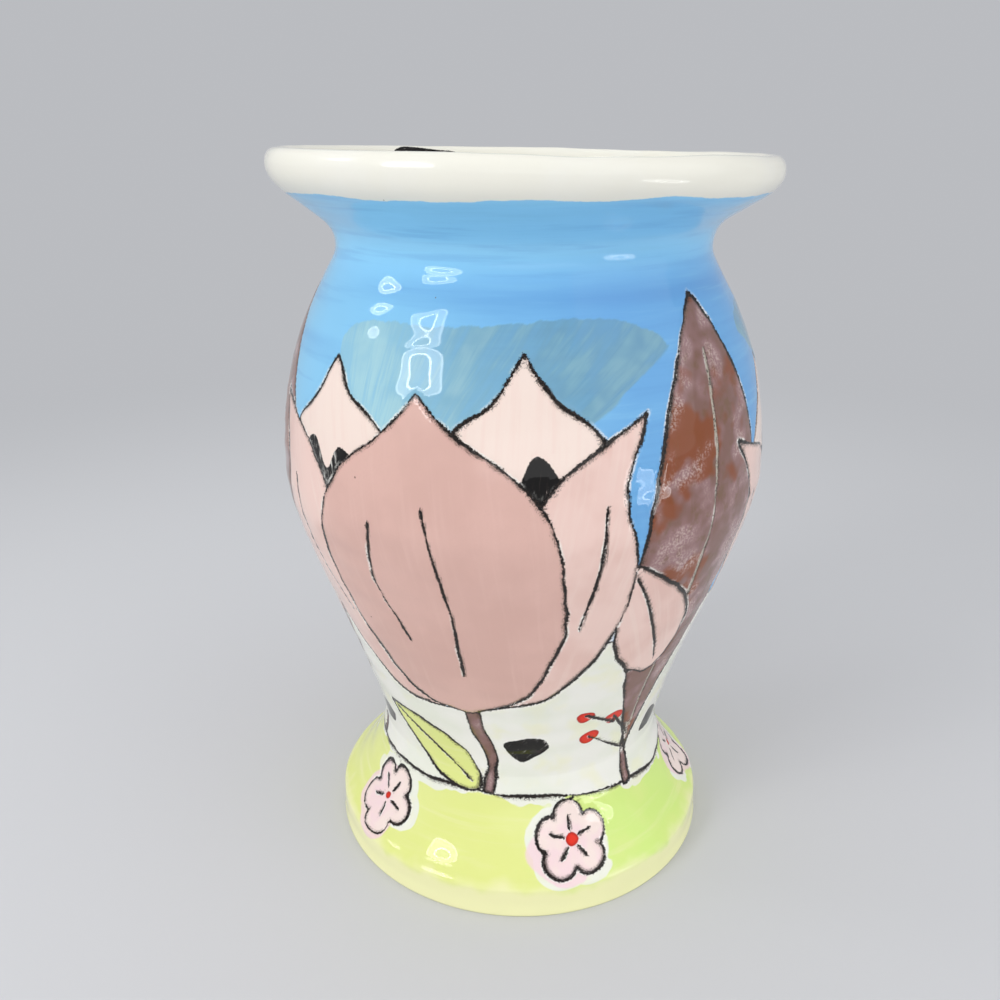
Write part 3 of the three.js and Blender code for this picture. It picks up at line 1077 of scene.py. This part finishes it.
class Paint(Tree):
    """The painted surface: its places in mm, its noises and the colours made of them"""

    def __init__(self, tree):
        super().__init__(tree)
        place = self.node("ShaderNodeTexCoord").outputs["Object"]
        x, y, self.z = (axis * (1 / MM) for axis in self.axes(place))
        spot = self.spot = self.vector(x, y, self.z)
        band = self.vector(x * 0.06, y * 0.06, self.z)
        across, lengthwise = self.field("brush_across"), self.field("brush_along")
        stroke, dry, sweep = (
            self.vector(across, lengthwise * share, layer)
            for share, layer in ((0.05, 0.0), (0.16, 9.0), (0.14, 3.0))
        )

        self.streaks = self.noise(band, 0.32, 4.0, 0.55)
        self.bands = self.noise(band, 0.05, 2.0, 0.5)
        self.drift = self.noise(spot, 0.009, 1.0, 0.5)
        self.blotches = self.noise(spot, 0.035, 3.0, 0.55)
        self.patches = self.noise(spot, 0.075, 2.0, 0.5)
        self.mottle = self.noise(spot, 0.2, 3.0, 0.6)
        self.tooth = self.noise(spot, 1.1, 4.0, 0.72)
        self.grit = self.noise(spot, 2.6, 2.0, 0.65)
        self.sweeps = self.noise(sweep, 0.16, 3.0, 0.6)
        self.hairs = self.noise(stroke, 0.9, 4.0, 0.65)
        self.bristles = self.noise(stroke, 0.36, 3.0, 0.6)
        self.dry_brush = self.noise(dry, 0.5, 5.0, 0.7)
        # Places from left to right and up, in mm, moved by noise so that borders along them are uneven
        self.sideways = x.shifted(self.drift, 160.0)
        self.low_edge = self.z.shifted(self.patches, 12.0)

    def shape(self, name, edge=0.0, soft=0.16, uneven=0.7):
        """1 inside a painted shape and 0 outside"""
        return self.field(name).shifted(self.mottle, uneven).ramp(edge + soft, edge - soft)

    def tone(self, name):
        """A colour with its tints over it"""
        colour, *tints = TONES[name]
        for share, tint, *noises in tints:
            for noise, start, end in noises:
                share = getattr(self, noise).ramp(start, end) * share
            colour = self.mix(share, colour, tint)
        return colour

    def washed(self, colour):
        """A colour with the teal washes over it, lighter towards the left and where the brush swept"""
        reach = self.field("wash") + self.sweeps * 4.0 + self.dry_brush * 2.0 - 3.0
        opacity = self.sweeps.ramp(0.36, 0.58) * 0.22 + 0.66
        lit = (self.sweeps * 0.7 + self.hairs * 0.3).ramp(0.44, 0.6) * self.patches.ramp(0.3, 0.56) * 0.85
        wash = self.mix(lit, self.tone("wash"), self.tone("wash_stroke"))
        return self.mix(reach.ramp(0.5, -0.5) * opacity, colour, wash)

    def ground(self):
        colour = self.mix(self.shape("horizon"), self.washed(self.tone("sky")), self.tone("cream"))
        skipped = self.blotches.ramp(0.44, 0.62) * 4.5
        colour = self.mix((self.field("hem") + skipped).ramp(0.3, -0.5), colour, self.tone("leaf"))
        brim = self.field("brim").shifted(self.mottle, 1.4)
        return self.mix(brim.ramp(-0.25, 0.3), colour, self.tone("lip"))

    def painted(self):
        """The ground with everything brushed on it, without the lines"""
        spill = self.shape("spill", 0.0, 0.6, 1.5) * self.field("hem").ramp(0.3, -0.3)
        colour = self.mix(spill * 0.85, self.ground(), LILAC)
        for name in LAYERS:
            colour = self.mix(self.shape(name), colour, self.tone(name))

        black = self.field("black")
        gaps = self.dry_brush.ramp(0.36, 0.24) * black.ramp(-5.0, -1.0)
        cover = black.shifted(self.tooth, 1.2).ramp(0.2, -0.2) * (1.0 - gaps * 0.7)
        colour = self.mix(cover, colour, self.tone("black"))
        red = self.mix(self.field("red").ramp(-1.4, 0.0), RED, RED_DEEP)
        return self.mix(self.shape("red", 0.0, 0.2, 0.4), colour, red)

    def needle(self):
        """Distance to the nearest incised line, in mm"""
        nearest = abs(self.field("vein")) + (1.0 - self.field("fade")) * FADE_PUSH
        for name in OUTLINED:
            nearest = nearest.smaller(abs(self.field(name)))
        return nearest

    def lines(self, colour):
        """Adds the needle's lines: rubbed with charcoal, crumbling on one side, chipped bare on the other"""
        half_width = self.blotches.ramp(0.4, 0.6) * 0.42 + 0.3
        beyond = self.needle().shifted(self.tooth, 2.4).shifted(self.grit, 1.1) - half_width
        missing = self.grit.ramp(0.6, 0.7) * self.patches.ramp(0.5, 0.62) * 0.6
        core = beyond.ramp(0.12, -0.12) * (1.0 - missing)

        chipped = self.field("side").shifted(self.patches, 3.0).ramp(-0.3, 0.3)
        crumbling = 1.0 - chipped
        crumbs = (self.grit - (beyond * 0.07 + 0.46)).ramp(0.0, 0.05) * beyond.ramp(1.6, 0.6)
        crumbs = crumbs * crumbling * self.mottle.ramp(0.36, 0.5)
        halo = beyond.ramp(0.9, 0.4) * chipped * self.patches.ramp(0.44, 0.6) * self.tooth.ramp(0.38, 0.54)
        smudge = beyond.ramp(2.0, 0.2) * crumbling * self.patches.ramp(0.46, 0.6)
        smudge = smudge * (self.tooth - beyond * 0.05).ramp(0.46, 0.53)
        for share, tint in ((smudge * 0.75, CRUMB), (halo * 0.85, HALO), (crumbs * 0.8, CRUMB)):
            colour = self.mix(share, colour, tint)

        scratched = self.shape("brown", -1.5, 0.5) * self.tooth.ramp(0.36, 0.5) * 0.8
        self.line = core.larger(crumbs * 0.5)
        return self.mix(core, colour, self.mix(scratched, self.tone("ink"), SCRATCH))

    def specks(self, colour):
        """Iron specks under the glaze"""
        cells = self.node("ShaderNodeTexVoronoi", Vector=self.spot, Scale=1 / SPECK_CELL).outputs
        picked = self.axes(cells["Color"])[0]
        speck = self.value(cells["Distance"]).ramp(0.034, 0.02) * picked.ramp(0.55, 0.57)
        return self.mix(speck * 0.85, colour, SPECK)


def paint_group():
    """Colour, roughness and height of the painted and glazed surface, shared by every piece"""
    group = bpy.data.node_groups.new("painted_glaze", "ShaderNodeTree")
    for name, kind in (("Color", "Color"), ("Roughness", "Float"), ("Height", "Float")):
        group.interface.new_socket(name, in_out="OUTPUT", socket_type="NodeSocket" + kind)
    p = Paint(group)
    colour = p.specks(p.lines(p.painted()))

    # The inside is cream, and the foot ring and the luted faces are bare clay
    inside = p.field("inside")
    bare = p.field("bare").shifted(p.mottle, 0.5).ramp(0.35, 0.6)
    colour = p.mix(bare, p.mix(inside, colour, p.tone("lip")), p.tone("clay"))
    roughness = (p.line * 0.2 + 0.34).larger(bare * 0.85)

    # Height in mm: the needle's channel, brush ridges, the swell of the glaze and the potter's fingers
    fingers = p.math("SINE", (p.z * (2 * math.pi / FINGER_STEP)).shifted(p.blotches, 7.0))
    height = p.line * -0.12 + p.streaks * 0.012 + p.hairs * p.shape("black") * 0.07
    height = height + p.tooth * bare * 0.14 + p.mottle * 0.03 + fingers * inside * 0.22

    p.node("NodeGroupOutput", Color=colour, Roughness=roughness, Height=height)
    return group


def node_material(name):
    """A new material, its tree and its shader"""
    material = bpy.data.materials.new(name)
    material.use_nodes = True
    return material, Tree(material.node_tree), material.node_tree.nodes["Principled BSDF"]


def glazed(name, group):
    """The painted surface under a clear coat of glaze"""
    material, t, shader = node_material(name)
    paint = t.node("ShaderNodeGroup", {"node_tree": group}).outputs
    bump = t.node("ShaderNodeBump", Strength=1.0, Distance=MM, Height=paint["Height"])
    t.fill(shader, Base_Color=paint["Color"], Roughness=paint["Roughness"], Normal=bump.outputs["Normal"])
    t.fill(shader, Coat_Weight=1.0, Coat_Roughness=0.03, Coat_IOR=1.4, Specular_IOR_Level=0.0)
    return material


def add_piece(node, outline, outside, slot, group):
    """Makes the fine piece that stands for a solid"""
    piece = turned(node, outline, outside)
    piece.name = piece.data.name = "glazed_" + node
    piece.data.materials.append(glazed(slot + "_paint", group))
    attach(piece, "root")
    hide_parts(node)


# Stage

FLOOR_COLOUR = (206, 207, 209)
STUDIO_WHITE = (251, 252, 255)
FILL = 0.83
FLOOR_REACH = 9.0
FLOOR_FADE = (0.25, 0.9)
# Lamps: azimuth and height of the direction to each in degrees, distance, width and height, lean in
# degrees, power, and how clearly a ring of tubes shows through its cloth
LAMPS = {
    "key_softbox": (-48, 25.4, 1.3, (0.48, 0.4), 17, 12.5, 0.9),
    "key_top": (-53, 36.6, 1.3, (0.42, 0.17), 17, 4, 0.9),
    "left_lamp": (-88, 33, 1.3, (0.22, 0.18), 0, 2.5, 0.9),
    "right_lamp": (55, -7.5, 0.6, (0.2, 0.12), 0, 1.1, 0.9),
    "right_panel": (62, 24, 2.2, (2.4, 2.4), 0, 9, 0.0),
    "front_panel": (8, 6, 2.4, (2.6, 0.8), 0, 5.6, 0.0),
}
# What the lamps point at
AIM = Vector((0.0, 0.0, 0.15))
# 2 makes a lamp an ellipse, and a large number makes it a rectangle
ROUNDNESS = 2.7
# A lamp's cloth, from 0 at its middle to 1 at its edge: the two sides of the ring of tubes, the rim,
# the glow outside the ring's middle, and the soft end. Where tubes show, the rest of it is dimmer.
TUBE_SIDES = ((0.44, 0.48), (0.56, 0.51))
RIM, RIM_POWER = (0.86, 0.92), 0.32
GLOW, GLOW_POWER = (0.42, 0.5), 0.17
CLOTH_END = (1.0, 0.94)
DIMMING = 0.95

# The photograph's view: a phone held close, just above the level of the mouth
CAMERA_PLACE = (0.0, -0.3599, 0.2843)
CAMERA_DOWN = 21.375
CAMERA_TURN = 1.412
LENS = 33.48
SENSOR = 36.0
NEAREST_SEEN = 0.01


def studio_tone():
    """The floor's colour where only the even light falls on it"""
    return tuple(a * b for a, b in zip(linear(STUDIO_WHITE), linear(FLOOR_COLOUR)))


def plain_floor():
    """A wide pale floor that turns into the plain tone of the studio away from the vase"""
    material, t, shader = node_material("floor")
    t.fill(shader, Base_Color=linear(FLOOR_COLOUR), Roughness=0.7, Specular_IOR_Level=0.0)
    far_tone = t.node("ShaderNodeEmission", Color=studio_tone(), Strength=FILL)
    place = t.node("ShaderNodeTexCoord").outputs["Object"]
    away = t.value(t.node("ShaderNodeVectorMath", {"operation": "LENGTH"}, Vector=place).outputs["Value"])
    t.surface("Material Output", away.ramp(*FLOOR_FADE), shader, far_tone)
    mesh = bpy.data.meshes.new("floor")
    corners = [(x * FLOOR_REACH, y * FLOOR_REACH, 0) for x, y in ((-1, -1), (1, -1), (1, 1), (-1, 1))]
    mesh.from_pydata(corners, [], [(0, 1, 2, 3)])
    mesh.materials.append(material)
    floor = linked("floor", mesh)


def studio_world():
    """Even light from all sides; where it is seen or mirrored it has the floor's far tone"""
    world = bpy.data.worlds.new("studio")
    world.use_nodes = True
    t = Tree(world.node_tree)
    light = world.node_tree.nodes["Background"]
    t.fill(light, Color=linear(STUDIO_WHITE), Strength=FILL)
    seen = t.node("ShaderNodeBackground", Color=studio_tone(), Strength=FILL)
    path = t.node("ShaderNodeLightPath").outputs
    direct, glossy, through = (
        t.value(path[kind]) for kind in ("Is Camera Ray", "Is Glossy Ray", "Is Transmission Ray")
    )
    t.surface("World Output", (direct + glossy + through).smaller(1.0), light, seen)
    bpy.context.scene.world = world


def softbox(name, azimuth, elevation, distance, size, lean, power, tubes):
    """A panel with soft, rounded edges"""
    lamp = bpy.data.lights.new(name, "AREA")
    lamp.shape = "RECTANGLE"
    lamp.size, lamp.size_y = size
    lamp.energy = power
    lamp.use_nodes = True
    t = Tree(lamp.node_tree)
    places = t.axes(t.node("ShaderNodeNewGeometry").outputs["Parametric"])
    x, y = (abs(place * 2.0 - 1.0) ** ROUNDNESS for place in places[:2])
    outwards = (x + y) ** (1 / ROUNDNESS)
    ring = outwards.ramp(*TUBE_SIDES[0]) * outwards.ramp(*TUBE_SIDES[1])
    shown = ring + outwards.ramp(*RIM) * RIM_POWER + outwards.ramp(*GLOW) * GLOW_POWER
    strength = outwards.ramp(*CLOTH_END) * (shown * tubes + (1.0 - DIMMING * tubes))
    t.fill(lamp.node_tree.nodes["Emission"], Strength=strength)
    turn, rise = math.radians(azimuth), math.radians(elevation)
    direction = Vector((math.sin(turn) * math.cos(rise), -math.cos(turn) * math.cos(rise), math.sin(rise)))
    facing = direction.to_track_quat("Z", "Y") @ Quaternion((0, 0, 1), math.radians(lean))
    holder = linked(name, lamp)
    holder.location = AIM + direction * distance
    holder.rotation_euler = facing.to_euler()
    holder.visible_camera = False


def camera():
    data = bpy.data.cameras.new("camera")
    data.sensor_width = SENSOR
    data.lens = LENS
    data.clip_start = NEAREST_SEEN
    holder = linked("camera", data)
    holder.location = CAMERA_PLACE
    holder.rotation_euler = (math.radians(90 - CAMERA_DOWN), 0.0, math.radians(CAMERA_TURN))
    bpy.context.scene.camera = holder


bpy.context.scene.view_settings.view_transform = "Standard"
camera()
plain_floor()
studio_world()
for lamp_name, settings in LAMPS.items():
    softbox(lamp_name, *settings)

SECTIONS = {
    "foot": (foot_outline(), "foot_glaze"),
    "waist_slip_seam": (seam_outline(WAIST_FACE, WAIST_BELOW, WAIST_FACE, WAIST_ABOVE), "slip"),
    "body": (body_outline(), "body_glaze"),
    "neck_slip_seam": (seam_outline(NECK_FACE, NECK_BELOW, NECK_FACE, NECK_ABOVE), "slip"),
    "collar": (collar_outline(), "collar_glaze"),
    "lip_slip_seam": (seam_outline(COLLAR_TOP_FACE, COLLAR_TOP, LIP_BASE_FACE, LIP_BASE), "slip"),
    "rolled_lip": (lip_outline(), "lip_glaze"),
}
surface = Outside({node: outline for node, (outline, slot) in SECTIONS.items()})
paint_vase(surface)
surface.shape()
painted_glaze = paint_group()
for node, (outline, slot) in SECTIONS.items():
    add_piece(node, outline, surface, slot, painted_glaze)
